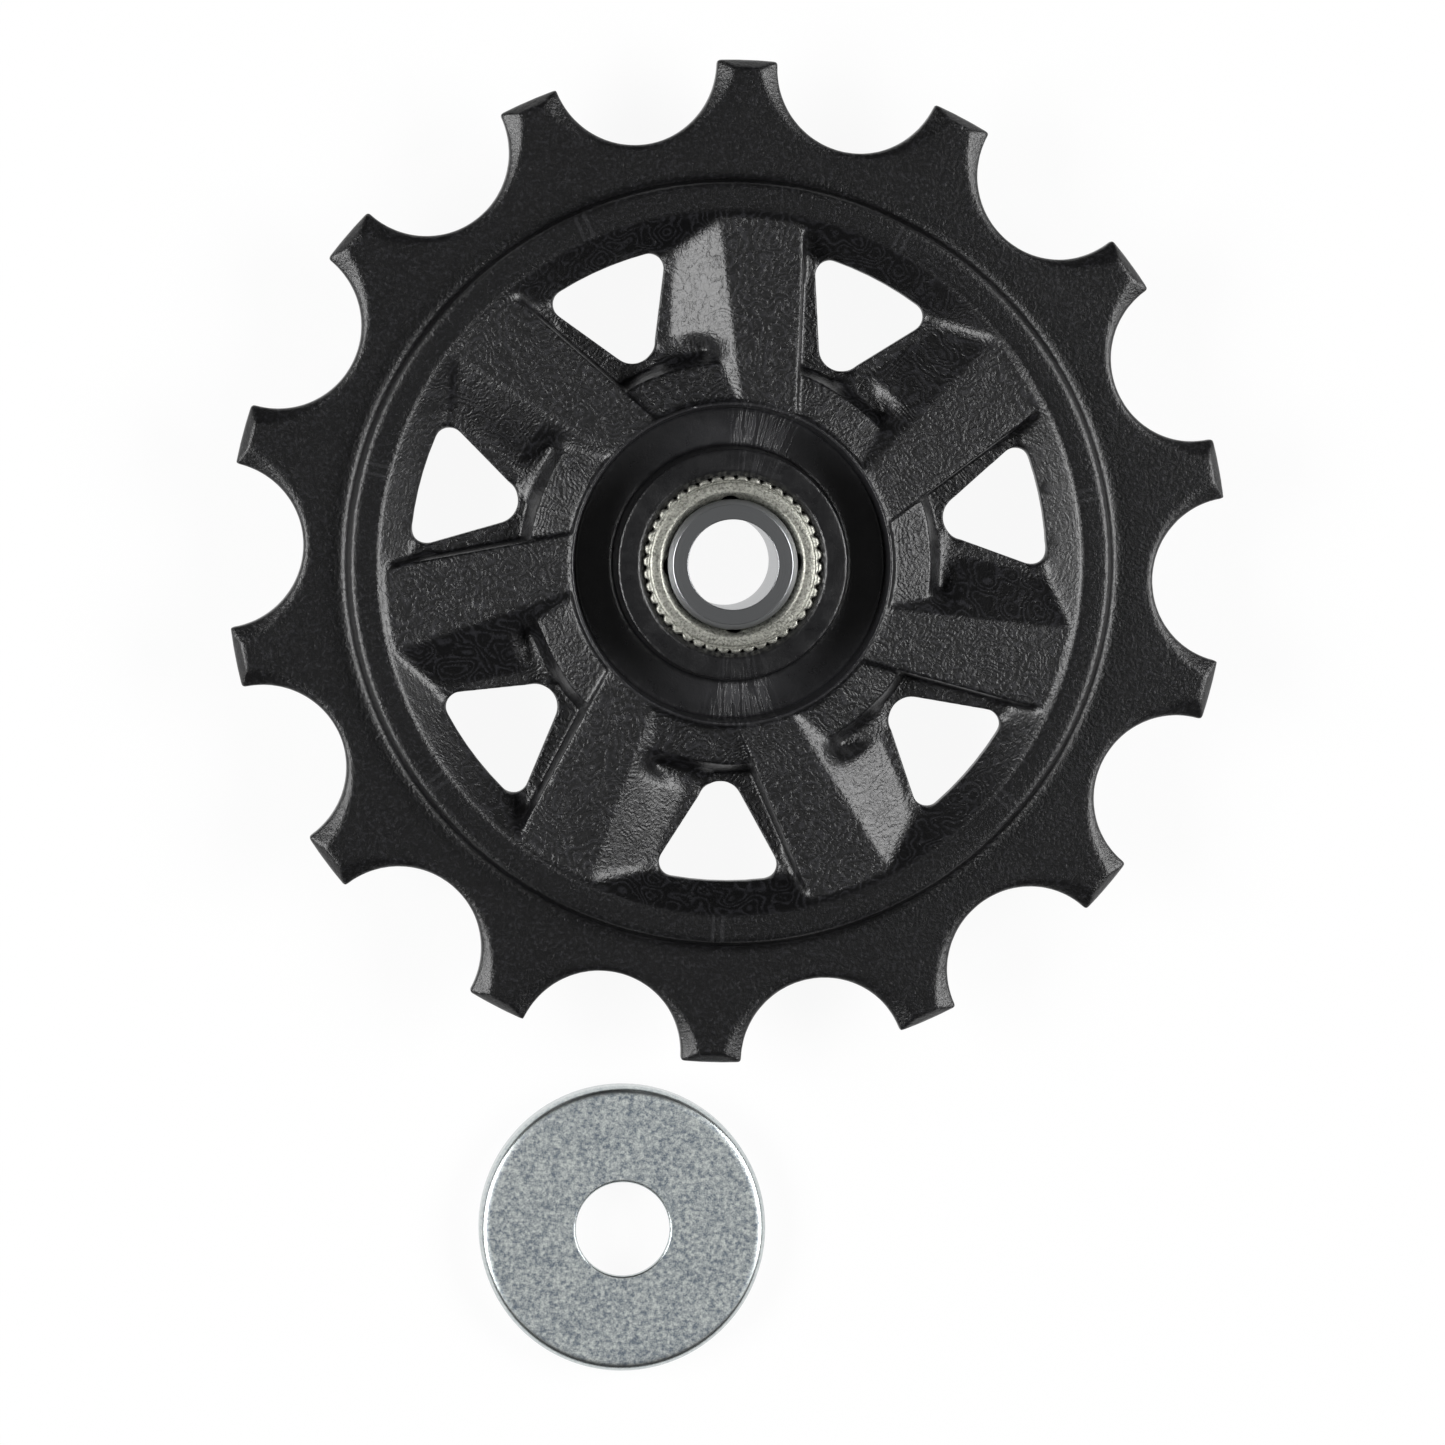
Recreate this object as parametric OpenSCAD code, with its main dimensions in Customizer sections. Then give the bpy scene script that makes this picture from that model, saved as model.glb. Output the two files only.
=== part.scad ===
// Derailleur jockey wheel, lower position, 14 teeth, on its plain sleeve bearing.
// Millimetres. The spin axis is Z, the origin is on that axis in the middle of the bore,
// one tooth and one spoke point along +Y, and +Z is the side that faces up.
// The wheel turns on the sleeve. The rear cover is fitted. The front cover is taken off
// and lies beside the wheel, on the surface that the rear cover stands on.

/* [Teeth] */
// Number of teeth
teeth = 14; // [11:1:18]
// Distance between the chain's rollers
chain_pitch = 12.7; // [12.4:0.1:13.2]
// Diameter of the chain's rollers
chain_roller_d = 7.75; // [7.4:0.05:8.5]
// Radius of the round valley between two teeth
valley_r = 4.8; // [4.4:0.1:5]
// Height of a tooth above the bottom of the valley
tooth_h = 4.44; // [3.6:0.02:4.6]
// Thickness of the toothed disc
disc_t = 2.1; // [1.7:0.05:2.3]
// Thickness of a tooth at its tip
tip_t = 0.9; // [0.6:0.05:1.3]
// Radial width of the bevel along a tip
tip_bevel = 0.5; // [0.3:0.05:0.8]
// Width of the flank chamfer at the bottom of a valley
chamfer_w = 0.25; // [0.15:0.05:0.4]
// How far the chamfer's centre lies outside the valley's centre, which widens it to the tip
chamfer_shift = 0.87; // [0.5:0.01:1]
// Slope of the flank chamfer, from the face of the disc
chamfer_angle = 31; // [24:1:38]

/* [Rim] */
// Width of the toothed disc from the ring to the bottom of a valley
disc_w = 2.66; // [2:0.02:3.4]
// Width of the flat top of the ring
ring_w = 1.65; // [1.2:0.05:2]
// Thickness of the wheel at the ring
ring_t = 4.4; // [3.8:0.1:4.8]
// Width of the ring's outer wall, seen along the axis
ring_draft = 0.22; // [0.1:0.02:0.4]
// Width of the ring's sloping inner wall, seen along the axis
wall_w = 1.85; // [1.4:0.05:2.2]
// Thickness of the web round the windows
web_t = 0.8; // [0.5:0.05:1]
// How far the foot of the sloping wall reaches in past the windows' outer edge
wall_lap = 0.1; // [0.05:0.05:0.3]

/* [Spokes] */
// Number of spokes
spokes = 7; // [6:1:7]
// Width of a spoke between two windows, at its outer end
spoke_w = 8.5; // [7.8:0.1:8.8]
// Angle by which each side of a window leaves its spoke
window_flare = 5; // [3:0.5:6]
// Radius of the windows' inner end
window_in_r = 12.7; // [12.5:0.1:13.2]
// Radius of the windows' outer corners
window_corner_r = 0.85; // [0.6:0.05:1.1]
// Thickness of a spoke at the ring
spoke_t_out = 3.7; // [3.3:0.1:4]
// How far the crests lie below the top of the hub's lip, where they meet it
crest_step = 0.12; // [0.05:0.01:0.3]
// Slope of the long facet of a spoke
facet_angle = 29; // [27:1:32]
// Thickness that a spoke would have at its long facet's lower edge, without the web
facet_edge_t = 0.5; // [0.3:0.05:0.7]
// Radius where the long facet ends towards the hub, at the hollow in front of the collar
hollow_out_r = 12.65; // [12.4:0.05:13]
// Distance from the spoke's middle line to the side of the hollow, at the height of the lip
hollow_side = 0.6; // [0.4:0.05:0.8]
// Slope of the side of the hollow
hollow_slope = 70; // [65:1:75]
// Distance from the spoke's middle line to the steep side of its crest
crest_side = 3.75; // [3.4:0.05:3.9]
// Lean of the steep side of the crest
side_draft = 6; // [3:1:9]

/* [Hub] */
// Thickness of the wheel at the hub's lip
lip_t = 5.8; // [5.4:0.1:6.2]
// Width of the flat top of the lip
lip_w = 0.2; // [0.15:0.05:0.3]
// How far the collar lies below the top of the lip, where they meet
collar_step = 0.35; // [0.25:0.05:0.5]
// Width of the collar round the lip, which falls away as a cone
collar_w = 2.3; // [1.6:0.05:2.5]
// Thickness of the wheel at the foot of the collar's cone
collar_t = 4; // [3.4:0.1:4.4]
// Depth of the ring-shaped pocket, from the top of the lip
pocket_depth = 2.2; // [1.8:0.1:2.4]
// Width of the pocket, between the top of the boss and the top of the lip
pocket_w = 2.5; // [2.2:0.05:2.6]
// Wall of the boss round the bush
boss_wall = 1.5; // [1.2:0.05:1.6]
// How much the walls of the pocket lean, over its depth
pocket_draft = 0.15; // [0.05:0.05:0.25]

/* [Bearing bush] */
// Play between each end of the bush and the cover that faces it
end_play = 0.3; // [0.15:0.05:0.4]
// Wall of the bush, from the bore to the top of the knurls
bush_wall = 1.375; // [1.2:0.025:1.5]
// Number of knurls
knurls = 42; // [32:1:48]
// Depth of a knurl
knurl_depth = 0.2; // [0.1:0.05:0.3]
// Width of the shallow chamfer over the ends of the knurls
knurl_chamfer = 0.35; // [0.2:0.05:0.45]
// Depth of that chamfer at the tops of the knurls
knurl_drop = 0.12; // [0.05:0.01:0.2]
// Width of the chamfer at each end of the bore
bush_chamfer = 0.4; // [0.2:0.05:0.5]
// Number of grease grooves along the bore
grooves = 4; // [2:1:6]
// Diameter of a grease groove
groove_d = 1.4; // [1:0.1:2]
// Depth of a grease groove
groove_depth = 0.2; // [0.1:0.05:0.4]
// Angle of the first groove from +Y
groove_at = 4; // [0:1:20]

/* [Axle sleeve] */
// Outer diameter of the sleeve
sleeve_d = 7.5; // [7.3:0.05:7.8]
// Inner diameter of the sleeve, which takes the M5 pulley bolt
sleeve_bore_d = 5.2; // [5.1:0.05:5.4]
// Length of the sleeve, which sets the covers apart
sleeve_l = 7.8; // [7.4:0.05:8.2]
// Width of the chamfer at each end of the sleeve
sleeve_chamfer = 0.3; // [0.15:0.05:0.45]
// Running clearance between the sleeve and the bush, on the radius
running_gap = 0.025; // [0.015:0.005:0.06]

/* [Covers] */
// Gap between a cover's rim and the outer wall of the pocket it runs in
cover_gap = 0.75; // [0.5:0.05:0.9]
// Depth of a cover's rim, over all
cover_h = 2; // [1.8:0.1:2.4]
// Thickness of a cover's sheet
sheet_t = 0.6; // [0.5:0.05:0.7]
// Outer radius of the bend between face and rim
bend_r = 0.75; // [0.7:0.05:0.9]
// Diameter of the hole for the bolt
cover_hole_d = 5.5; // [5.3:0.1:5.8]
// Where the loose front cover lies, to the side of the spin axis
loose_x = -4.6; // [-20:0.2:20]
// Gap between the loose front cover and the tips of the teeth
loose_gap = 2.1; // [1:0.1:8]

/* [Hidden] */
$fn = 96;

// Radii of the toothed rim, from the chain outwards and inwards
valley_root = chain_pitch / (2 * sin(180 / teeth)) - chain_roller_d / 2;
valley_at = valley_root + valley_r;
tip_r = valley_root + tooth_h;
ring_out = valley_root - disc_w;
ring_in = ring_out - ring_w;
window_out_r = ring_in - wall_w;
chamfer_r = valley_r + chamfer_w + chamfer_shift;

// Half thicknesses, measured from the middle plane
disc_z = disc_t / 2;
ring_z = ring_t / 2;
web_z = web_t / 2;
lip_z = lip_t / 2;
collar_z = collar_t / 2;
boss_z = sleeve_l / 2 - end_play;
spoke_z_out = spoke_t_out / 2;
pocket_z = lip_z - pocket_depth;

// Radii of the hub, from the bore outwards
bore_r = sleeve_d / 2 + running_gap;
bush_r = bore_r + bush_wall;
boss_r = bush_r + boss_wall;
pocket_r = boss_r + pocket_w;
lip_r = pocket_r + lip_w;
collar_r = lip_r + collar_w;

// Place of the covers: each one's face lies a sheet outside the end of the sleeve
cover_r = pocket_r - cover_gap;
cover_face_z = sleeve_l / 2 + sheet_t;
loose_reach = tip_r + loose_gap + cover_r;
loose_y = -sqrt(loose_reach * loose_reach - loose_x * loose_x);
loose_lift = cover_h - 2 * cover_face_z;

// How far a cutting solid passes the surface that it cuts
cut = 1;
// How far joined solids reach into each other
bite = 0.1;

// Points of a half section above the middle plane, followed by their mirror images below it
function both_sides(points) = concat(
    points,
    [for (i = [len(points) - 1 : -1 : 0]) [points[i][0], -points[i][1]]]
);

// Toothed disc with its ring, and the web that reaches in under the spokes to the hub
module toothed_rim() {
    rotate_extrude($fn = 180)
        polygon(both_sides([
            [window_in_r, web_z],
            [window_out_r - wall_lap, web_z],
            [ring_in, ring_z],
            [ring_out, ring_z],
            [ring_out + ring_draft, disc_z],
            [tip_r - tip_bevel, disc_z],
            [tip_r, tip_t / 2]
        ]));
}

// One valley between two teeth: the roller's seat, with a chamfer on each face that is
// narrow at the bottom and grows wider towards the tips
module valley() {
    drop = chamfer_r * tan(chamfer_angle);
    rise = bite * tan(chamfer_angle);
    translate([0, valley_at, -ring_z])
        cylinder(h = ring_t, r = valley_r);
    for (face = [0, 1])
        mirror([0, 0, face])
            translate([0, valley_at + chamfer_shift, disc_z - drop])
                cylinder(h = drop + rise, r1 = 0, r2 = chamfer_r + bite);
}

// Hub with its lip, the pocket for the cover's rim and the boss that holds the bush
module hub_body() {
    rotate_extrude($fn = 144)
        polygon(both_sides([
            [bush_r - cut, boss_z],
            [boss_r, boss_z],
            [boss_r + pocket_draft, pocket_z],
            [pocket_r - pocket_draft, pocket_z],
            [pocket_r, lip_z],
            [lip_r, lip_z],
            [lip_r + bite, lip_z - collar_step],
            [collar_r, collar_z],
            [collar_r + (collar_z - web_z) / 3, web_z],
            [window_in_r + cut, web_z]
        ]));
}

// Upper half of a spoke's section, seen from the hub: a long facet, a flat crest and a
// steep side. The half below the middle plane is the same shape after a half turn.
module spoke_section() {
    top = lip_z + cut;
    foot = -spoke_w / 2;
    edge_z = facet_edge_t / 2;
    upper = [
        [foot, edge_z],
        [foot + (top - edge_z) / tan(facet_angle), top],
        [crest_side - top * tan(side_draft), top],
        [crest_side, 0]
    ];
    polygon(concat(upper, [for (p = upper) [-p[0], -p[1]]]));
}

// Space that the spokes fill: their crests fall in a straight line from the lip to the ring
module spoke_envelope() {
    rotate_extrude($fn = 144)
        polygon(both_sides([
            [lip_r - bite, lip_z - crest_step],
            [ring_in, spoke_z_out]
        ]));
}

// Room between the collar and the inner end of a spoke's long facet, on both faces
module spoke_hollows() {
    lean = 1 / tan(hollow_slope);
    for (turn = [0, 180])
        rotate([0, turn, 0])
            translate([0, hollow_out_r, 0])
                rotate([90, 0, 0])
                    linear_extrude(hollow_out_r)
                        polygon([
                            [-spoke_w, web_z],
                            [-hollow_side - (lip_z - web_z) * lean, web_z],
                            [-hollow_side + cut * lean, lip_z + cut],
                            [-spoke_w, lip_z + cut]
                        ]);
}

module spoke_set() {
    intersection() {
        spoke_envelope();
        for (i = [0 : spokes - 1])
            rotate(i * 360 / spokes)
                difference() {
                    translate([0, ring_out, 0])
                        rotate([90, 0, 0])
                            linear_extrude(ring_out)
                                spoke_section();
                    spoke_hollows();
                }
    }
}

// Outline of one window, with its middle line along +Y
module window_outline() {
    half = 180 / spokes;
    side = half + window_flare;
    edge_x = window_out_r * sin(half) - spoke_w / 2 * cos(half);
    edge_y = window_out_r * cos(half) + spoke_w / 2 * sin(half);
    apex_y = edge_y - edge_x / tan(side);
    in_r = (window_in_r - apex_y) * sin(side) / (1 - sin(side));
    in_y = window_in_r + in_r;
    reach = window_out_r - window_corner_r;
    turn = side - asin((window_corner_r + apex_y * sin(side)) / reach);
    far = window_out_r / cos(turn);
    intersection() {
        circle(r = window_out_r, $fn = 144);
        union() {
            translate([0, in_y])
                circle(r = in_r);
            for (s = [-1, 1])
                translate([s * reach * sin(turn), reach * cos(turn)])
                    circle(r = window_corner_r);
            for (s = [-1, 1])
                polygon([
                    [0, in_y],
                    [s * in_r * cos(side), in_y - in_r * sin(side)],
                    [s * (reach * sin(turn) + window_corner_r * cos(side)),
                        reach * cos(turn) - window_corner_r * sin(side)],
                    [s * reach * sin(turn), reach * cos(turn)],
                    [s * far * sin(turn), far * cos(turn)],
                    [0, far * cos(turn)]
                ]);
        }
    }
}

// Knurled outline, shared by the bush and by the hub that is moulded round it
module knurl_outline() {
    step = 180 / knurls;
    polygon([for (i = [0 : 2 * knurls - 1])
        let (r = bush_r - (i % 2) * knurl_depth)
            [r * sin(i * step), r * cos(i * step)]]);
}

// One moulding in black nylon, with the bush in place
module pulley_wheel() {
    color("#1b1b1d")
        difference() {
            union() {
                toothed_rim();
                hub_body();
                spoke_set();
            }
            for (i = [0 : teeth - 1])
                rotate((i + 0.5) * 360 / teeth)
                    valley();
            for (i = [0 : spokes - 1])
                rotate((i + 0.5) * 360 / spokes)
                    translate([0, 0, -lip_z])
                        linear_extrude(lip_t)
                            window_outline();
            translate([0, 0, -boss_z - cut])
                linear_extrude(2 * (boss_z + cut))
                    knurl_outline();
        }
}

// Sintered metal bush with a plain bore, chamfered ends and grease grooves
module bearing_bush() {
    color("#b3aea2")
        difference() {
            intersection() {
                translate([0, 0, -boss_z])
                    linear_extrude(2 * boss_z)
                        knurl_outline();
                rotate_extrude($fn = 120)
                    polygon(both_sides([
                        [0, boss_z],
                        [bush_r - knurl_chamfer, boss_z],
                        [bush_r + knurl_chamfer, boss_z - 2 * knurl_drop]
                    ]));
            }
            translate([0, 0, -boss_z - cut])
                cylinder(h = 2 * (boss_z + cut), r = bore_r);
            for (face = [0, 1])
                mirror([0, 0, face])
                    translate([0, 0, boss_z - bush_chamfer])
                        cylinder(h = bush_chamfer + bite, r1 = bore_r, r2 = bore_r + bush_chamfer + bite);
            for (i = [0 : grooves - 1])
                rotate(groove_at + i * 360 / grooves)
                    translate([0, bore_r + groove_depth - groove_d / 2, -boss_z - cut])
                        cylinder(h = 2 * (boss_z + cut), d = groove_d, $fn = 48);
        }
}

// Turned steel sleeve that the wheel runs on, clamped between the covers by the bolt
module axle_sleeve() {
    end_z = sleeve_l / 2;
    color("#8f9296")
        rotate_extrude($fn = 96)
            polygon(both_sides([
                [sleeve_bore_d / 2, end_z],
                [sleeve_d / 2 - sleeve_chamfer, end_z],
                [sleeve_d / 2, end_z - sleeve_chamfer]
            ]));
}

// Stamped steel cup: a flat face with a hole, a bend and a short rim that runs in the pocket
module cover() {
    hole_r = cover_hole_d / 2;
    rotate_extrude($fn = 120)
        union() {
            translate([hole_r, cover_face_z - sheet_t])
                square([cover_r - bend_r - hole_r, sheet_t]);
            translate([cover_r - sheet_t, cover_face_z - cover_h])
                square([sheet_t, cover_h - bend_r]);
            translate([cover_r - bend_r, cover_face_z - bend_r])
                intersection() {
                    difference() {
                        circle(r = bend_r, $fn = 48);
                        circle(r = bend_r - sheet_t, $fn = 48);
                    }
                    square(bend_r);
                }
        }
}

module rear_cover() {
    color("#b9bec4")
        mirror([0, 0, 1])
            cover();
}

module front_cover() {
    color("#b9bec4")
        translate([loose_x, loose_y, loose_lift])
            cover();
}

pulley_wheel();
bearing_bush();
axle_sleeve();
rear_cover();
front_cover();
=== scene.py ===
"""Studio picture of a derailleur jockey wheel, lying on its rear cover with the front cover taken off."""
import math

import bpy
import numpy as np
from mathutils import Matrix, Vector


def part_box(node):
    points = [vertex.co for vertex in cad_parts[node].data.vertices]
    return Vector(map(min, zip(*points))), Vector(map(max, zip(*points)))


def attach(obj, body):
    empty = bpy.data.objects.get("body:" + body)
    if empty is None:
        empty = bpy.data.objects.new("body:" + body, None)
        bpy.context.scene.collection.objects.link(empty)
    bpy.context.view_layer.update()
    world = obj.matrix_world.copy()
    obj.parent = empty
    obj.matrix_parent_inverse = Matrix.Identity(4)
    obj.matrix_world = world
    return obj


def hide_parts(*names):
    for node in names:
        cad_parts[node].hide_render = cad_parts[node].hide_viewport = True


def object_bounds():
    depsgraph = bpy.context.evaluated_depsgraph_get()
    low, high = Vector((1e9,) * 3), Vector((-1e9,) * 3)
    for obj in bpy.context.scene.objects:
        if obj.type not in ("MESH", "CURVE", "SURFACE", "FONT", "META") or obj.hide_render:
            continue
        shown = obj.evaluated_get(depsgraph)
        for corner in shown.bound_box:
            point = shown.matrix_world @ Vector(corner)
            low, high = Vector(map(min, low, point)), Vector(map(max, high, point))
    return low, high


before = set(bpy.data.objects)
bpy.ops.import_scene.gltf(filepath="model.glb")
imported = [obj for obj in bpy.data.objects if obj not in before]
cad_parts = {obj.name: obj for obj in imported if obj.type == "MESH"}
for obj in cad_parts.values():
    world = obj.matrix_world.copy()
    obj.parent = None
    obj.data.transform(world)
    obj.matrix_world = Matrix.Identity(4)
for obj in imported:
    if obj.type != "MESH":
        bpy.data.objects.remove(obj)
cad_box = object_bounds()


# Pulley wheel: toothed disc, ring, seven slanted spokes and hub in one piece.
# Injection-moulded black nylon with short glass fibre; the tool's spark-eroded and
# polished areas give a grained disc, rippled satin spokes and a glossier hub.

MM = 0.001
WHEEL_VOXEL = 0.1
WHEEL_TRIANGLES = 190000
# Rings that are rounded, as (inner radius, outer radius, lowest height, passes)
WHEEL_ROUNDING = [(0, 6.0, 0, 3), (6.0, 7.4, 0, 8), (7.4, 9.6, 0, 4), (9.6, 20.2, 0, 1), (9.6, 20.2, 1.1, 6),
                  (19.7, 21.0, 1.5, 18), (21.7, 22.9, 0.9, 30), (20.2, 23, 0, 4), (23, 40, 0, 8)]
# Rings whose inside corners are filled, as (inner radius, outer radius, reach, passes)
WHEEL_FILLETS = [(17.2, 20.3, 0.6, 45)]
SPOKES = 7
FACET_END_PASSES = 240
FACET_END_R = (11.6, 13.6)
FACET_ASIDE = (0.4, 5.0)
TEETH = 14
TEETH_FROM_R = 23.5
VALLEY_AT = 29.46
VALLEY_R = 4.8
DISC_TOP = 1.05
FLANK_SLOPE = 0.55
# The flank bevels are narrow at the foot of a tooth and gain this width up to its tip
FLANK_WIDTH = 0.2
FLANK_GAIN = 0.9
FLANK_GAIN_FROM_R = 25.0
FLANK_GAIN_OVER = 3.9
# The groove beside the knurls, as radii and the greatest height at each
BESIDE_KNURLS_R = [5.2, 5.25, 5.35, 5.4]
BESIDE_KNURLS_TOP = [3.3, 3.3, 3.6, 10]


def moulded_copy(node, name, voxel, ceiling, rounding, fillets, softened, triangles):
    """The solid of a node with the rounded edges and the wider fillets that a mould leaves. Sizes are in
    mm. ceiling gives the greatest height at each point. rounding lists rings of the piece as (inner
    radius, outer radius, lowest height, passes). fillets lists rings whose inside corners are filled as
    (inner radius, outer radius, reach, passes). softened lists places that are rounded more, as a
    function that gives each point's share, and the passes."""
    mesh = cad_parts[node].data.copy()
    mesh.transform(Matrix.Scale(1 / MM, 4))
    piece = bpy.data.objects.new(name, mesh)
    bpy.context.scene.collection.objects.link(piece)
    remesh = piece.modifiers.new("even_skin", "REMESH")
    remesh.mode = "VOXEL"
    remesh.voxel_size = voxel
    piece.data = evaluated_mesh(piece)
    piece.modifiers.clear()
    edges = np.empty(len(piece.data.edges) * 2, dtype=np.int64)
    piece.data.edges.foreach_get("vertices", edges)
    ends, others = np.concatenate((edges[0::2], edges[1::2])), np.concatenate((edges[1::2], edges[0::2]))
    count = np.bincount(ends, minlength=len(piece.data.vertices))

    def blurred(values):
        """Each vertex's mean of its neighbours."""
        columns = [np.bincount(ends, weights=column[others], minlength=len(count)) / count for column in values.T]
        return np.stack(columns, axis=1)

    place = np.empty(len(count) * 3)
    piece.data.vertices.foreach_get("co", place)
    place = place.reshape(-1, 3)
    radius = np.hypot(place[:, 0], place[:, 1])
    highest = ceiling(place, radius)
    place[:, 2] = np.clip(place[:, 2], -highest, highest)
    for inner, outer, lowest, passes in rounding:
        inside = (radius >= inner) & (radius < outer) & (np.abs(place[:, 2]) > lowest)
        for _ in range(passes):
            place[inside] += 0.5 * (blurred(place) - place)[inside]
    for share_of, passes in softened:
        share = share_of(place)
        near = share[ends] > 0
        some, inside = ends[near], share > 0
        share = share[inside, None]
        for _ in range(passes):
            mean = [np.bincount(some, weights=column[others[near]], minlength=len(count)) for column in place.T]
            mean = np.stack(mean, axis=1)[inside] / count[inside, None]
            place[inside] += 0.5 * share * (mean - place[inside])
    for inner, outer, reach, passes in fillets:
        piece.data.vertices.foreach_set("co", place.ravel())
        piece.data.update()
        outward = np.empty(len(count) * 3)
        piece.data.vertices.foreach_get("normal", outward)
        hollow = ((blurred(place) - place) * outward.reshape(-1, 3)).sum(axis=1, keepdims=True) > 0.025 * voxel
        hollow = hollow * ((radius >= inner) & (radius < outer))[:, None].astype(float)
        for _ in range(round(reach / voxel)):
            hollow = np.maximum(hollow, np.minimum(1.0, 1.6 * blurred(hollow)))
        for _ in range(passes):
            place += 0.5 * hollow * (blurred(place) - place)
    piece.data.vertices.foreach_set("co", place.ravel())
    piece.data.update()
    thin = piece.modifiers.new("fewer_faces", "DECIMATE")
    thin.ratio = min(1.0, triangles / sum(len(p.vertices) - 2 for p in piece.data.polygons))
    final = evaluated_mesh(piece)
    piece.modifiers.clear()
    final.transform(Matrix.Scale(MM, 4))
    final.shade_smooth()
    final.materials.clear()
    piece.data = final
    final.name = name
    return piece


def evaluated_mesh(piece):
    graph = bpy.context.evaluated_depsgraph_get()
    return bpy.data.meshes.new_from_object(piece.evaluated_get(graph), depsgraph=graph)


def colour(text):
    """A colour written as sRGB hex, turned to the linear values that the shader takes."""
    levels = [int(text[i:i + 2], 16) / 255 for i in (1, 3, 5)]
    linear = [v / 12.92 if v <= 0.04045 else ((v + 0.055) / 1.055) ** 2.4 for v in levels]
    return (*linear, 1.0)


def add(tree, kind, inputs=None, output=None, **settings):
    """Adds a node with its settings and inputs, by name or number, and gives its output."""
    made = tree.nodes.new("ShaderNode" + kind)
    for option, value in settings.items():
        setattr(made, option, value)
    for socket, value in (inputs or {}).items():
        if isinstance(value, bpy.types.NodeSocket):
            tree.links.new(value, made.inputs[socket])
        else:
            made.inputs[socket].default_value = value
    return made.outputs[output] if output else next(out for out in made.outputs if not out.is_unavailable)


def new_material(name):
    material = bpy.data.materials.new(name)
    material.use_nodes = True
    return material, material.node_tree, material.node_tree.nodes["Principled BSDF"]


def wheel_ceiling(place, radius):
    """A fine groove beside the knurls of the bush, and tooth flanks that are bevelled wider towards the tips."""
    turn = np.arctan2(place[:, 1], place[:, 0]) - math.pi / 2
    off = (turn * TEETH / (2 * math.pi)) % 1 - 0.5
    off *= 2 * math.pi / TEETH
    inside = np.sqrt(radius ** 2 + VALLEY_AT ** 2 - 2 * radius * VALLEY_AT * np.cos(off)) - VALLEY_R
    wide = FLANK_WIDTH + FLANK_GAIN * np.clip((radius - FLANK_GAIN_FROM_R) / FLANK_GAIN_OVER, 0, 1)
    flank = DISC_TOP - FLANK_SLOPE * np.clip(wide - inside, 0, wide)
    return np.where(radius > TEETH_FROM_R, flank, np.interp(radius, BESIDE_KNURLS_R, BESIDE_KNURLS_TOP))


def facet_ends(place):
    """1 at the inner end of each slanted facet, where it rolls over into the hollow beside the hub, and 0
    away from it."""
    radius = np.hypot(place[:, 0], place[:, 1])
    turn = np.arctan2(place[:, 1], place[:, 0]) - math.pi / 2
    turn -= np.round(turn * SPOKES / (2 * math.pi)) * 2 * math.pi / SPOKES
    aside = -radius * np.sin(turn)
    least, most = FACET_ASIDE
    inner, outer = FACET_END_R
    across = np.clip((-least - aside) / 0.6, 0, 1) * np.clip((aside + most) / 0.5, 0, 1)
    return across * np.clip((radius - inner) / 0.3, 0, 1) * np.clip((outer - radius) / 0.6, 0, 1)


wheel = moulded_copy("pulley_wheel", "moulded_wheel", WHEEL_VOXEL, wheel_ceiling, WHEEL_ROUNDING, WHEEL_FILLETS,
                     [(facet_ends, FACET_END_PASSES)], WHEEL_TRIANGLES)

# Glass-filled nylon: a dense black with a satin sheen where it is lit from the side. Depths are in mm.
DISC_FROM_R = 20.2
HUB_TO_R = 9.4
POCKET_FROM_R = 6.9
RING_MIDDLE_R = 21.15
RING_HALF_WIDTH = 0.75
GRAIN_DEPTH = 0.05
UNEVEN_DEPTH = 0.03
CREASE_DEPTH = 0.0026
RIPPLE_PITCH = 0.25
RIPPLE_DEPTH_HUB = 0.005
RIPPLE_DEPTH_RING = 0.001
WELD_OFFSET = 0.42
WELD_WIDTH = 0.1
WELD_DEPTH = 0.012
FAN_HEADINGS = (78, 277)
STREAK_DEPTH = 0.01
HAZE_DEPTH = 0.08
nylon, tree, skin = new_material("black_glass_filled_nylon")
place = add(tree, "TexCoord", output="Object")
in_mm = add(tree, "VectorMath", {0: place, "Scale": 1 / MM}, operation="SCALE")
flat = add(tree, "VectorMath", {0: in_mm, 1: (1, 1, 0)}, operation="MULTIPLY")
radius = add(tree, "VectorMath", {0: flat}, operation="LENGTH")
heading = add(tree, "VectorMath", {0: flat}, operation="NORMALIZE")
x = add(tree, "SeparateXYZ", {0: in_mm}, output="X")
y = add(tree, "SeparateXYZ", {0: in_mm}, output="Y")
angle = add(tree, "Math", {0: y, 1: x}, operation="ARCTAN2")
on_disc = add(tree, "MapRange", {"Value": radius, "From Min": DISC_FROM_R, "From Max": DISC_FROM_R + 0.3})
on_hub = add(tree, "MapRange", {"Value": radius, "From Min": HUB_TO_R, "From Max": HUB_TO_R - 0.2})

# Spark-eroded grain on the toothed disc and the ring: 0.1 mm in the tool, drawn at 0.25 mm to show
grain = add(tree, "TexNoise", {"Vector": in_mm, "Scale": 4.5, "Detail": 3.0, "Roughness": 0.7})
disc_skin = add(tree, "Math", {0: grain, 1: GRAIN_DEPTH}, operation="MULTIPLY")

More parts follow.
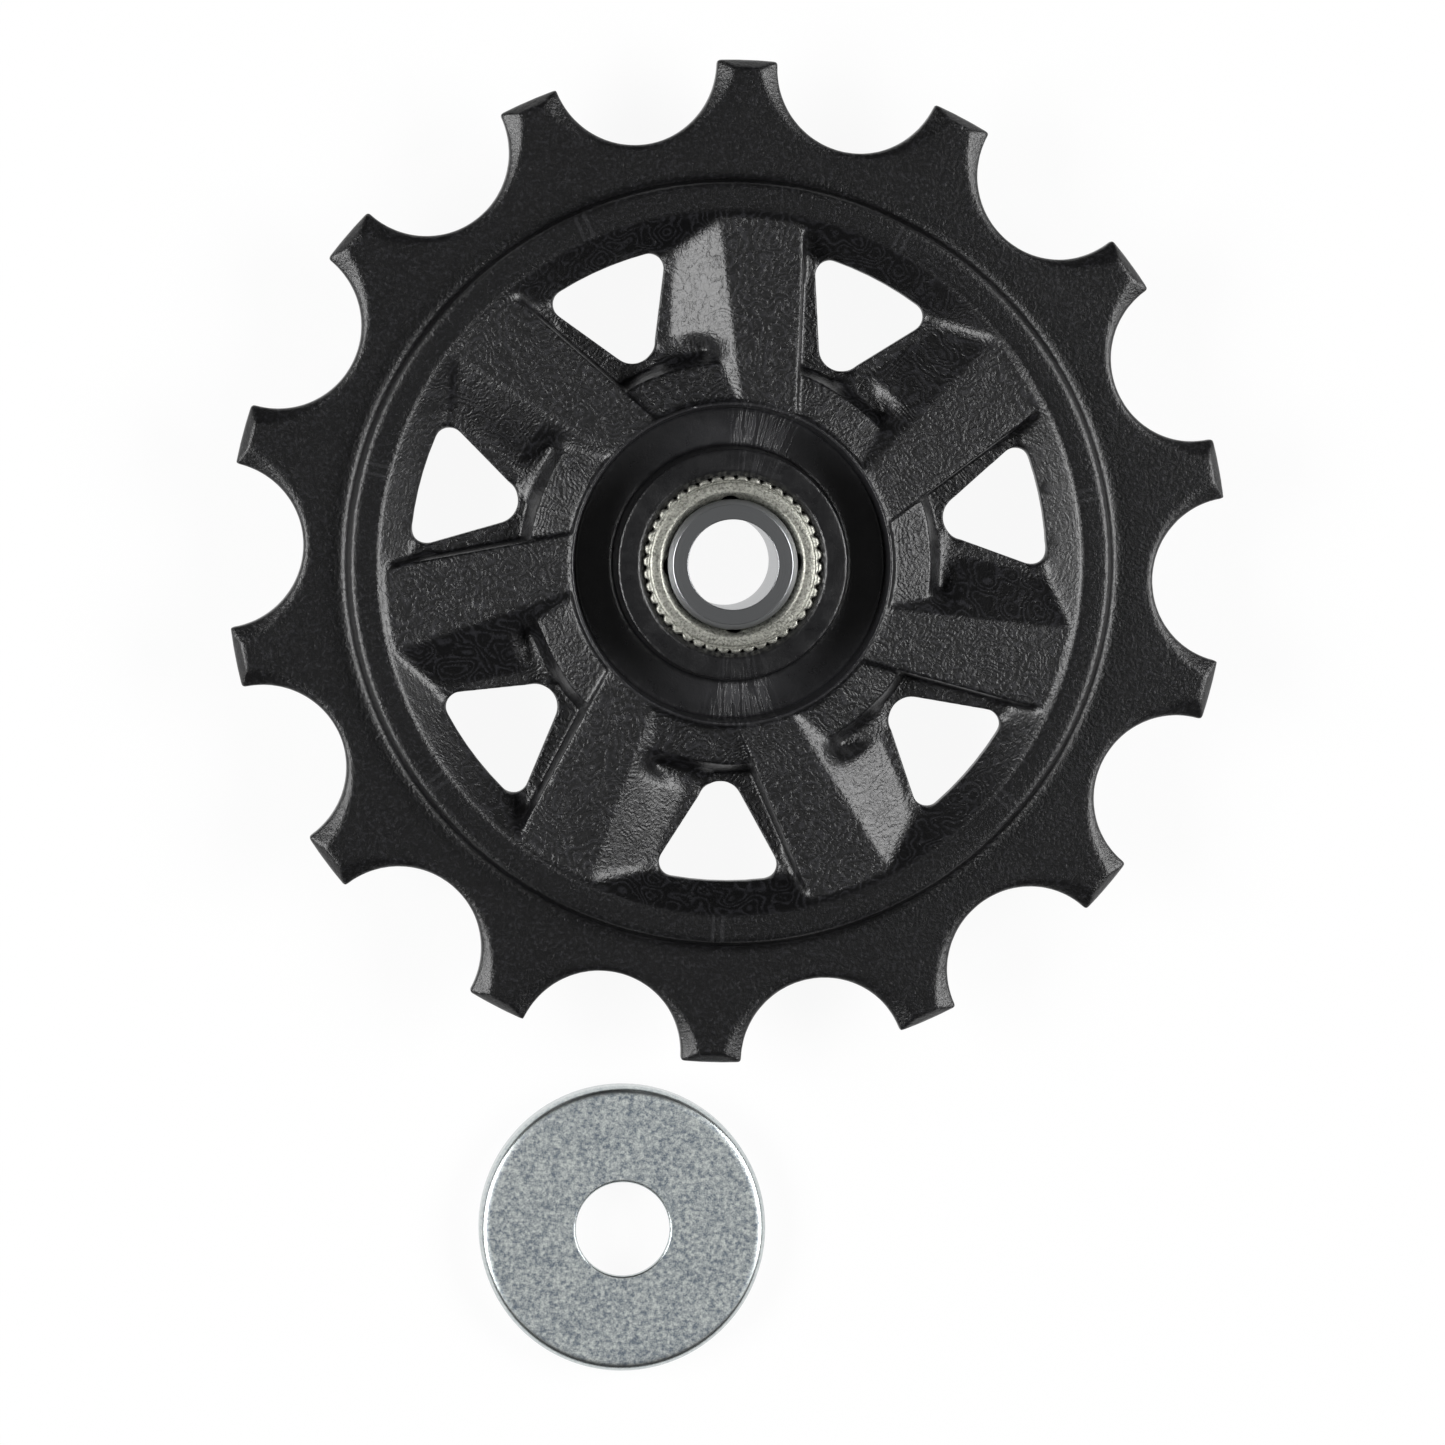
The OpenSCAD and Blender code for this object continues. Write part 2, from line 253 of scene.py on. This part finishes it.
# The spokes are wrinkled like leather: short creases, about 0.2 mm apart, that change their way
# every millimetre, over a finer unevenness. They are deeper on the level crests. Ripples of the
# melt front cross them in patches near the hub and fade out towards the ring.
uneven = add(tree, "TexNoise", {"Vector": in_mm, "Scale": 3.5, "Detail": 1.5, "Roughness": 0.5, "Distortion": 1.2})
creases = add(tree, "TexNoise", {"Vector": in_mm, "Scale": 0.8, "Detail": 0.0})
creases = add(tree, "Math", {0: creases, 1: 46.0}, operation="MULTIPLY")
creases = add(tree, "Math", {0: uneven, 1: 5.0, 2: creases}, operation="MULTIPLY_ADD")
creases = add(tree, "Math", {0: creases}, operation="SINE")
wrinkle = add(tree, "Math", {0: uneven, 1: 0.5}, operation="SUBTRACT")
wrinkle = add(tree, "Math", {0: wrinkle, 1: UNEVEN_DEPTH}, operation="MULTIPLY")
wrinkle = add(tree, "Math", {0: creases, 1: CREASE_DEPTH, 2: wrinkle}, operation="MULTIPLY_ADD")
level = add(tree, "SeparateXYZ", {0: add(tree, "TexCoord", output="Normal")}, output="Z")
level = add(tree, "Math", {0: level}, operation="ABSOLUTE")
depth = add(tree, "MapRange", {"Value": level, "From Min": 0.88, "From Max": 0.97, "To Min": 1.0, "To Max": 2.1})
wrinkle = add(tree, "Math", {0: wrinkle, 1: depth}, operation="MULTIPLY")
melt = add(tree, "TexNoise", {"Vector": in_mm, "Scale": 0.5, "Detail": 1.0})
melt = add(tree, "Math", {0: melt, 1: 38.0}, operation="MULTIPLY")
melt = add(tree, "Math", {0: radius, 1: 2 * math.pi / RIPPLE_PITCH, 2: melt}, operation="MULTIPLY_ADD")
flow = add(tree, "Math", {0: melt}, operation="SINE")
flow_depth = add(tree, "MapRange", {"Value": radius, "From Min": 12.0, "From Max": 17.0,
                                    "To Min": RIPPLE_DEPTH_HUB, "To Max": RIPPLE_DEPTH_RING})
patches = add(tree, "TexNoise", {"Vector": in_mm, "Scale": 0.35, "Detail": 2.0})
patches = add(tree, "MapRange", {"Value": patches, "From Min": 0.42, "From Max": 0.62})
flow_depth = add(tree, "Math", {0: flow_depth, 1: patches}, operation="MULTIPLY")
spoke_skin = add(tree, "Math", {0: flow, 1: flow_depth, 2: wrinkle}, operation="MULTIPLY_ADD")

# The melt fronts met outside each window: a short double weld line crosses the ring there
turn = add(tree, "Math", {0: angle, 1: math.pi / 2 + math.pi / SPOKES}, operation="SUBTRACT")
turn = add(tree, "Math", {0: turn, 1: SPOKES / (2 * math.pi)}, operation="MULTIPLY")
turn = add(tree, "Math", {0: turn, 1: 0.5}, operation="PINGPONG")
arc = add(tree, "Math", {0: radius, 1: 2 * math.pi / SPOKES}, operation="MULTIPLY")
arc = add(tree, "Math", {0: arc, 1: turn}, operation="MULTIPLY")
arc = add(tree, "Math", {0: grain, 1: 0.3, 2: arc}, operation="MULTIPLY_ADD")
arc = add(tree, "Math", {0: arc, 1: WELD_OFFSET, 2: WELD_WIDTH}, operation="COMPARE")
on_ring = add(tree, "Math", {0: radius, 1: RING_MIDDLE_R, 2: RING_HALF_WIDTH}, operation="COMPARE")
weld = add(tree, "Math", {0: arc, 1: on_ring}, operation="MULTIPLY")

# Paler streaks fan out over the floor of the pocket where the melt came in and where it closed
fans = []
for degrees in FAN_HEADINGS:
    middle = (math.cos(math.radians(degrees)), math.sin(math.radians(degrees)), 0)
    near = add(tree, "VectorMath", {0: heading, 1: middle}, operation="DOT_PRODUCT")
    fans.append(add(tree, "MapRange", {"Value": near, "From Min": math.cos(math.radians(16)),
                                       "From Max": math.cos(math.radians(10))}))
fan = add(tree, "Math", {0: fans[0], 1: fans[1]}, operation="MAXIMUM")
fan = add(tree, "Math", {0: fan, 1: on_hub}, operation="MULTIPLY")
stretched = add(tree, "CombineXYZ", {"X": add(tree, "Math", {0: angle, 1: 18.0}, operation="MULTIPLY"),
                                     "Y": add(tree, "Math", {0: radius, 1: 0.15}, operation="MULTIPLY")})
streak = add(tree, "TexNoise", {"Vector": stretched, "Scale": 3.0, "Detail": 2.0})
streak = add(tree, "MapRange", {"Value": streak, "From Min": 0.5, "From Max": 0.58})
streak = add(tree, "Math", {0: streak, 1: fan}, operation="MULTIPLY")
in_pocket = add(tree, "MapRange", {"Value": radius, "From Min": POCKET_FROM_R, "From Max": POCKET_FROM_R + 0.2,
                                   "To Min": 0.3, "To Max": 1.0})
streak = add(tree, "Math", {0: streak, 1: in_pocket}, operation="MULTIPLY")
haze = add(tree, "TexNoise", {"Vector": in_mm, "Scale": 0.9, "Detail": 5.0, "Roughness": 0.7})
hub_skin = add(tree, "Math", {0: haze, 1: HAZE_DEPTH}, operation="MULTIPLY")
hub_skin = add(tree, "Math", {0: streak, 1: STREAK_DEPTH, 2: hub_skin}, operation="MULTIPLY_ADD")

relief = add(tree, "Mix", {"Factor": on_disc, "A": spoke_skin, "B": disc_skin})
relief = add(tree, "Mix", {"Factor": on_hub, "A": relief, "B": hub_skin})
relief = add(tree, "Math", {0: weld, 1: WELD_DEPTH, 2: relief}, operation="MULTIPLY_ADD")
bump = add(tree, "Bump", {"Strength": 1.0, "Distance": MM, "Height": relief})

# The level crests are matt; the facets slid out of the mould and are smoother
spoke_rough = add(tree, "MapRange", {"Value": level, "From Min": 0.88, "From Max": 0.97,
                                     "To Min": 0.36, "To Max": 0.44})
rough = add(tree, "Mix", {"Factor": on_disc, "A": spoke_rough, "B": 0.34})
hub_rough = add(tree, "MapRange", {"Value": haze, "From Min": 0.35, "From Max": 0.65, "To Min": 0.26, "To Max": 0.42})
rough = add(tree, "Mix", {"Factor": on_hub, "A": rough, "B": hub_rough})
pale = add(tree, "Math", {0: weld, 1: 0.3, 2: streak}, operation="MULTIPLY_ADD")

# The floor of the pocket is painted a shade paler than the boss round the bush: a painted sheen that lifts the shade
# under the lip. Glass fibres near the skin make the tops of the creases and of the grain a little paler too, and weld
# lines most.
# Painted sheen: the paler pocket colour stands in for light that the lip shades off the pocket floor
hub_tone_painted_sheen = add(tree, "Mix", {"Factor": in_pocket, "A": colour("#060607"), "B": colour("#222224")}, data_type="RGBA")
broken = add(tree, "MapRange", {"Value": uneven, "From Min": 0.3, "From Max": 0.55})
tops = add(tree, "MapRange", {"Value": creases, "From Min": 0.0, "From Max": 1.0})
tops = add(tree, "Math", {0: tops, 1: broken}, operation="MULTIPLY")
specks = add(tree, "MapRange", {"Value": grain, "From Min": 0.52, "From Max": 0.68})
fibres = add(tree, "Mix", {"Factor": on_disc, "A": tops, "B": specks})
skin_tone = add(tree, "Mix", {"Factor": fibres, "A": colour("#040405"), "B": colour("#212124")}, data_type="RGBA")
tone = add(tree, "Mix", {"Factor": on_hub, "A": skin_tone, "B": hub_tone_painted_sheen}, data_type="RGBA")
tone = add(tree, "Mix", {"Factor": pale, "A": tone, "B": colour("#363638")}, data_type="RGBA")
skin.inputs["IOR"].default_value = 1.56
tree.links.new(tone, skin.inputs["Base Color"])
tree.links.new(rough, skin.inputs["Roughness"])
tree.links.new(bump, skin.inputs["Normal"])

wheel.data.materials.append(nylon)
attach(wheel, "wheel")
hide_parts("pulley_wheel")


# Bearing bush: pressed and sintered metal powder, knurled outside, moulded into the hub.
# The grain of the powder leaves a dull, warm grey skin full of fine pores.

BUSH_R = 5.15
BUSH_BORE_R = 3.775
BUSH_TOP = 3.6
KNURLS = 42
KNURL_DEPTH = 0.2
GROOVES = 4
GROOVE_AT = math.radians(94)
GROOVE_R = 0.7
GROOVE_DEPTH = 0.2
STEPS = KNURLS * 16
# (radius, height below the end face, share of the knurls' depth) from the bore to the outside
bush_outline = [
    (BUSH_BORE_R, 0.40, 0), (4.04, 0.12, 0), (4.09, 0.07, 0), (4.15, 0.015, 0), (4.22, 0, 0),
    (4.66, 0, 0), (4.71, 0.02, 0), (4.76, 0.1, 0), (4.82, 0.1, 0), (4.87, 0.02, 0.05), (4.93, 0.0, 0.3),
    (5.04, 0.02, 1), (5.11, 0.07, 1), (BUSH_R, 0.16, 1),
]
bush_outline += [(r, 2 * BUSH_TOP - drop, share) for r, drop, share in reversed(bush_outline)]
verts = []
for i in range(STEPS):
    a = 2 * math.pi * i / STEPS
    off = (a - GROOVE_AT + math.pi / GROOVES) % (2 * math.pi / GROOVES) - math.pi / GROOVES
    centre = BUSH_BORE_R + GROOVE_DEPTH - GROOVE_R
    room = GROOVE_R ** 2 - (centre * math.sin(off)) ** 2
    least = centre * math.cos(off) + math.sqrt(room) if room > 0 else 0
    dip = KNURL_DEPTH * (0.5 - 0.5 * math.cos(KNURLS * a)) ** 2.5
    for r, drop, share in bush_outline:
        r = max(r - share * dip, least)
        verts.append((r * math.cos(a) * MM, r * math.sin(a) * MM, (BUSH_TOP - drop) * MM))
count = len(bush_outline)
faces = [(i * count + k, i * count + (k + 1) % count, ((i + 1) % STEPS) * count + (k + 1) % count,
          ((i + 1) % STEPS) * count + k) for i in range(STEPS) for k in range(count)]
mesh = bpy.data.meshes.new("sintered_bush")
mesh.from_pydata(verts, [], [face[::-1] for face in faces])
mesh.shade_smooth()
bush = bpy.data.objects.new("sintered_bush", mesh)
bpy.context.scene.collection.objects.link(bush)

# Sintered metal: rough and porous, so it shines only softly, with dark specks
sintered, tree, skin = new_material("sintered_metal")
place = add(tree, "TexCoord", output="Object")
in_mm = add(tree, "VectorMath", {0: place, "Scale": 1 / MM}, operation="SCALE")
# Powder grains are about 0.1 mm; they are drawn at 0.15 mm to show
pores = add(tree, "TexNoise", {"Vector": in_mm, "Scale": 7.0, "Detail": 3.0, "Roughness": 0.7})
tone = add(tree, "MapRange", {"Value": pores, "From Min": 0.3, "From Max": 0.6})
shade = add(tree, "Mix", {"Factor": tone, "A": colour("#5f5f58"), "B": colour("#c2c2b9")}, data_type="RGBA")
relief = add(tree, "Math", {0: pores, 1: 0.03}, operation="MULTIPLY")
bump = add(tree, "Bump", {"Strength": 1.0, "Distance": MM, "Height": relief})
skin.inputs["Metallic"].default_value = 1.0
skin.inputs["Roughness"].default_value = 0.48
tree.links.new(shade, skin.inputs["Base Color"])
tree.links.new(bump, skin.inputs["Normal"])
bush.data.materials.append(sintered)
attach(bush, "wheel")
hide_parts("bearing_bush")


# Axle sleeve: a short steel tube turned on a lathe, the wheel's journal.
# Turning leaves fine rings round it and on its ends; the edges are chamfered.

def turned_piece(name, outline, turns):
    """A closed outline of (radius, height) points in mm, spun round the Z axis."""
    count = len(outline)
    verts = []
    for i in range(turns):
        a = 2 * math.pi * i / turns
        verts += [(r * math.cos(a) * MM, r * math.sin(a) * MM, z * MM) for r, z in outline]
    faces = [(i * count + k, ((i + 1) % turns) * count + k, ((i + 1) % turns) * count + (k + 1) % count,
              i * count + (k + 1) % count) for i in range(turns) for k in range(count)]
    mesh = bpy.data.meshes.new(name)
    mesh.from_pydata(verts, [], faces)
    mesh.shade_smooth()
    piece = bpy.data.objects.new(name, mesh)
    bpy.context.scene.collection.objects.link(piece)
    return piece


def rounded_outline(corners, step=15):
    """Corners as (radius, height, rounding): each corner becomes an arc, with a point close on either side."""
    outline = []
    for k, (r, z, bend) in enumerate(corners):
        here = Vector((r, z))
        before = (Vector(corners[k - 1][:2]) - here).normalized()
        after = (Vector(corners[(k + 1) % len(corners)][:2]) - here).normalized()
        half = before.angle(after) / 2
        reach = bend / math.tan(half)
        centre = here + (before + after).normalized() * (bend / math.sin(half))
        start = here + before * reach - centre
        sweep = start.angle_signed(here + after * reach - centre)
        parts = max(2, round(abs(math.degrees(sweep)) / step))
        outline.append(here + before * (reach * 1.15))
        for i in range(parts + 1):
            turn = Matrix.Rotation(-sweep * i / parts, 2)
            outline.append(centre + turn @ start)
        outline.append(here + after * (reach * 1.15))
    return [tuple(p) for p in outline]


SLEEVE_BORE_R = 2.6
SLEEVE_R = 3.75
SLEEVE_END = 3.9
SLEEVE_CHAMFER = 0.3
SLEEVE_EDGE = 0.06
half_sleeve = [
    (SLEEVE_BORE_R, SLEEVE_END, SLEEVE_EDGE),
    (SLEEVE_R - SLEEVE_CHAMFER, SLEEVE_END, SLEEVE_EDGE),
    (SLEEVE_R, SLEEVE_END - SLEEVE_CHAMFER, SLEEVE_EDGE),
]
sleeve_corners = half_sleeve + [(r, -z, bend) for r, z, bend in reversed(half_sleeve)]
sleeve = turned_piece("turned_sleeve", rounded_outline(sleeve_corners), 192)

# Turned steel: bright, with highlights drawn out round it by the rings
steel, tree, skin = new_material("turned_steel")
place = add(tree, "TexCoord", output="Object")
in_mm = add(tree, "VectorMath", {0: place, "Scale": 1 / MM}, operation="SCALE")
flat = add(tree, "VectorMath", {0: in_mm, 1: (1, 1, 0)}, operation="MULTIPLY")
radius = add(tree, "VectorMath", {0: flat}, operation="LENGTH")
across = add(tree, "Math", {0: radius, 1: add(tree, "SeparateXYZ", {0: in_mm}, output="Z")}, operation="ADD")
# The lathe's feed leaves a ring every 0.1 mm or so
rings = add(tree, "TexNoise", {"W": across, "Scale": 9.0, "Detail": 3.0, "Roughness": 0.6}, noise_dimensions="1D")
relief = add(tree, "Math", {0: rings, 1: 0.008}, operation="MULTIPLY")
bump = add(tree, "Bump", {"Strength": 1.0, "Distance": MM, "Height": relief})
skin.inputs["Base Color"].default_value = colour("#a9abad")
skin.inputs["Metallic"].default_value = 1.0
skin.inputs["Roughness"].default_value = 0.32
tree.links.new(bump, skin.inputs["Normal"])
sleeve.data.materials.append(steel)
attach(sleeve, "axle")
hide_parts("axle_sleeve")


# Dust covers: two steel cups stamped from 0.6 mm sheet, then tumbled and zinc plated.
# One is fitted at the rear; the other is taken off and lies beside the wheel.

COVER_R = 8.4
COVER_HOLE_R = 2.75
COVER_FACE = 4.5
COVER_DEPTH = 2.0
SHEET = 0.6
BEND = 0.62
CUT_EDGE = 0.12
HOLE_EDGE = 0.2
cover_corners = [
    (COVER_HOLE_R, COVER_FACE, HOLE_EDGE),
    (COVER_R, COVER_FACE, BEND),
    (COVER_R, COVER_FACE - COVER_DEPTH, CUT_EDGE),
    (COVER_R - SHEET, COVER_FACE - COVER_DEPTH, CUT_EDGE),
    (COVER_R - SHEET, COVER_FACE - SHEET, CUT_EDGE),
    (COVER_HOLE_R, COVER_FACE - SHEET, HOLE_EDGE),
]

# Zinc plate: a cool, mottled grey that is dull on the face and shines on the bend
zinc, tree, skin = new_material("zinc_plated_steel")
place = add(tree, "TexCoord", output="Object")
in_mm = add(tree, "VectorMath", {0: place, "Scale": 1 / MM}, operation="SCALE")
# Tumbling and plating leave spots of about 0.25 mm, some bluer and some paler
mottle = add(tree, "TexNoise", {"Vector": in_mm, "Scale": 4.6, "Detail": 3.0, "Roughness": 0.7})
tone = add(tree, "MapRange", {"Value": mottle, "From Min": 0.35, "From Max": 0.65})
# The bend and the side wall are burnished by the die: smoother and brighter than the face
upright = add(tree, "SeparateXYZ", {0: add(tree, "TexCoord", output="Normal")}, output="Z")
upright = add(tree, "Math", {0: upright}, operation="ABSOLUTE")
on_face = add(tree, "MapRange", {"Value": upright, "From Min": 0.86, "From Max": 0.99})
rough = add(tree, "MapRange", {"Value": on_face, "To Min": 0.26, "To Max": 0.52})
tone = add(tree, "Mix", {"Factor": add(tree, "MapRange", {"Value": on_face, "To Min": 0.3, "To Max": 1.0}),
                         "A": 0.7, "B": tone})
shade = add(tree, "Mix", {"Factor": tone, "A": colour("#7d8894"), "B": colour("#e4e9e6")}, data_type="RGBA")
relief = add(tree, "Math", {0: mottle, 1: 0.02}, operation="MULTIPLY")
relief = add(tree, "Math", {0: relief, 1: on_face}, operation="MULTIPLY")
bump = add(tree, "Bump", {"Strength": 1.0, "Distance": MM, "Height": relief})
skin.inputs["Metallic"].default_value = 1.0
tree.links.new(shade, skin.inputs["Base Color"])
tree.links.new(rough, skin.inputs["Roughness"])
tree.links.new(bump, skin.inputs["Normal"])

cover_low, cover_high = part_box("front_cover")
loose = turned_piece("loose_front_cover", rounded_outline(cover_corners), 256)
loose_place = Vector(((cover_low.x + cover_high.x) / 2, (cover_low.y + cover_high.y) / 2,
                      cover_high.z - COVER_FACE * MM))
loose.data.transform(Matrix.Translation(loose_place))
fitted = turned_piece("fitted_rear_cover", rounded_outline(cover_corners), 256)
fitted.data.transform(Matrix.Rotation(math.pi, 4, "X"))
for cover, node in ((loose, "front_cover"), (fitted, "rear_cover")):
    cover.data.materials.append(zinc)
    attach(cover, "axle")
    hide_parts(node)


# Studio: a plain white floor, a soft box at the left and at the right, a weak fill from
# above, and a camera high up, a little to the upper left, as in the photograph.

FLOOR_SIZE = 3.0
FLOOR_GLOW = 0.93
WORLD_LIGHT = 0.05
# Soft boxes as (name, azimuth, rise, distance, width, height, watts)
LAMPS = [("left_soft_box", 186, 35, 0.5, 0.38, 0.19, 2.9),
         ("right_soft_box", 5, 35, 0.5, 0.38, 0.19, 2.8),
         ("overhead_fill", 0, 90, 1.2, 1.0, 1.0, 0.2)]
floor_mesh = bpy.data.meshes.new("studio_floor")
floor_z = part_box("rear_cover")[0].z
corners = [(-1, -1), (1, -1), (1, 1), (-1, 1)]
floor_mesh.from_pydata([(x * FLOOR_SIZE / 2, y * FLOOR_SIZE / 2, floor_z) for x, y in corners], [], [(0, 1, 2, 3)])
floor = bpy.data.objects.new("studio_floor", floor_mesh)
bpy.context.scene.collection.objects.link(floor)
paper, tree, skin = new_material("white_paper")
output = tree.nodes["Material Output"]
camera_ray = add(tree, "LightPath", output="Is Camera Ray")
glossy_ray = add(tree, "LightPath", output="Is Glossy Ray")
clear_ray = add(tree, "LightPath", output="Is Transmission Ray")
seen = add(tree, "Math", {0: camera_ray, 1: glossy_ray}, operation="MAXIMUM")
seen = add(tree, "Math", {0: seen, 1: clear_ray}, operation="MAXIMUM")
seen = add(tree, "Math", {0: seen, 1: FLOOR_GLOW}, operation="MULTIPLY")
glow = add(tree, "Emission", {"Strength": 1.0})
both = add(tree, "MixShader", {0: seen, 1: skin.outputs["BSDF"], 2: glow})
tree.links.new(both, output.inputs["Surface"])
skin.inputs["Base Color"].default_value = colour("#e6e6e6")
skin.inputs["Roughness"].default_value = 0.9
skin.inputs["Specular IOR Level"].default_value = 0.0
floor_mesh.materials.append(paper)

for name, azimuth, rise, distance, width, height, watts in LAMPS:
    lamp = bpy.data.lights.new(name, "AREA")
    lamp.shape = "RECTANGLE"
    lamp.size, lamp.size_y = width, height
    lamp.energy = watts
    holder = bpy.data.objects.new(name, lamp)
    a, e = math.radians(azimuth), math.radians(rise)
    way = Vector((math.cos(a) * math.cos(e), math.sin(a) * math.cos(e), math.sin(e)))
    holder.location = way * distance
    holder.rotation_euler = way.to_track_quat("Z", "Y").to_euler()
    bpy.context.scene.collection.objects.link(holder)

world = bpy.data.worlds.new("studio")
bpy.context.scene.world = world
world.use_nodes = True
tree = world.node_tree
sky = tree.nodes["Background"]
in_view = add(tree, "LightPath", output="Is Camera Ray")
tree.links.new(add(tree, "MapRange", {"Value": in_view, "To Min": WORLD_LIGHT, "To Max": 1.0}), sky.inputs["Strength"])
sky.inputs["Color"].default_value = (1, 1, 1, 1)

CAMERA_AT = Vector((-30.9, 13.5, 450.0)) * MM
FIELD = 84 * MM
PHOTO_ROLL = math.radians(2.1)
low, high = cad_box
target = (low + high) / 2
camera = bpy.data.cameras.new("camera")
holder = bpy.data.objects.new("camera", camera)
bpy.context.scene.collection.objects.link(holder)
bpy.context.scene.camera = holder
back = (CAMERA_AT - target).normalized()
up = Vector((-math.sin(PHOTO_ROLL), math.cos(PHOTO_ROLL), 0))
right = up.cross(back).normalized()
up = back.cross(right)
holder.matrix_world = Matrix.Translation(CAMERA_AT) @ Matrix((right, up, back)).transposed().to_4x4()
camera.lens = camera.sensor_width * (CAMERA_AT - target).length / FIELD
camera.clip_start = 0.01

bpy.context.scene.view_settings.view_transform = "Standard"
